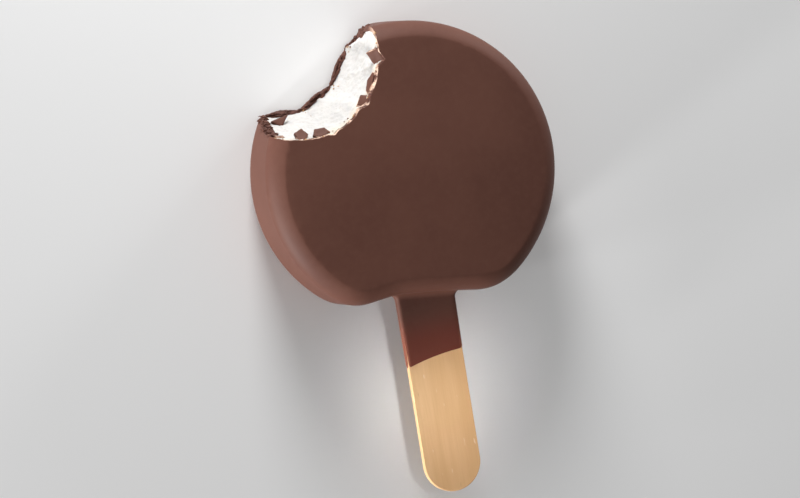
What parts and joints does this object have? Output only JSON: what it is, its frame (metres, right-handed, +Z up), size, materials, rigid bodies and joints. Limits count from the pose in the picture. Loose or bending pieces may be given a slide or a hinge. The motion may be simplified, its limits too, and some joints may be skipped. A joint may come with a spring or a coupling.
{
  "type": "ice cream bar",
  "caption": "Round, thick ice cream bar dipped in milk chocolate on a flat wooden stick, with a bite taken from its upper left.",
  "frame": {"origin": "On the floor under the middle of the whole bar's bounding box, stick included; the disc's centre is 25.35 mm toward +Y from it", "axes": "+Z up out of the front of the bar, which lies on its flat back; +Y from the stick's end to the top of the disc; the bite is at -X, +Y"},
  "size_m": [0.087, 0.1356, 0.0252],
  "materials": {
    "chocolate": "satin milk chocolate",
    "vanilla": "frozen, finely porous",
    "wood": "sanded pale birch"
  },
  "bodies": {
    "root": {"coating": "chocolate", "ice_cream": "vanilla", "stick": "wood", "shard_1": "chocolate", "shard_2": "chocolate", "shard_3": "chocolate", "shard_4": "chocolate", "shard_5": "chocolate", "shard_6": "chocolate"}
  },
  "joints": []
}
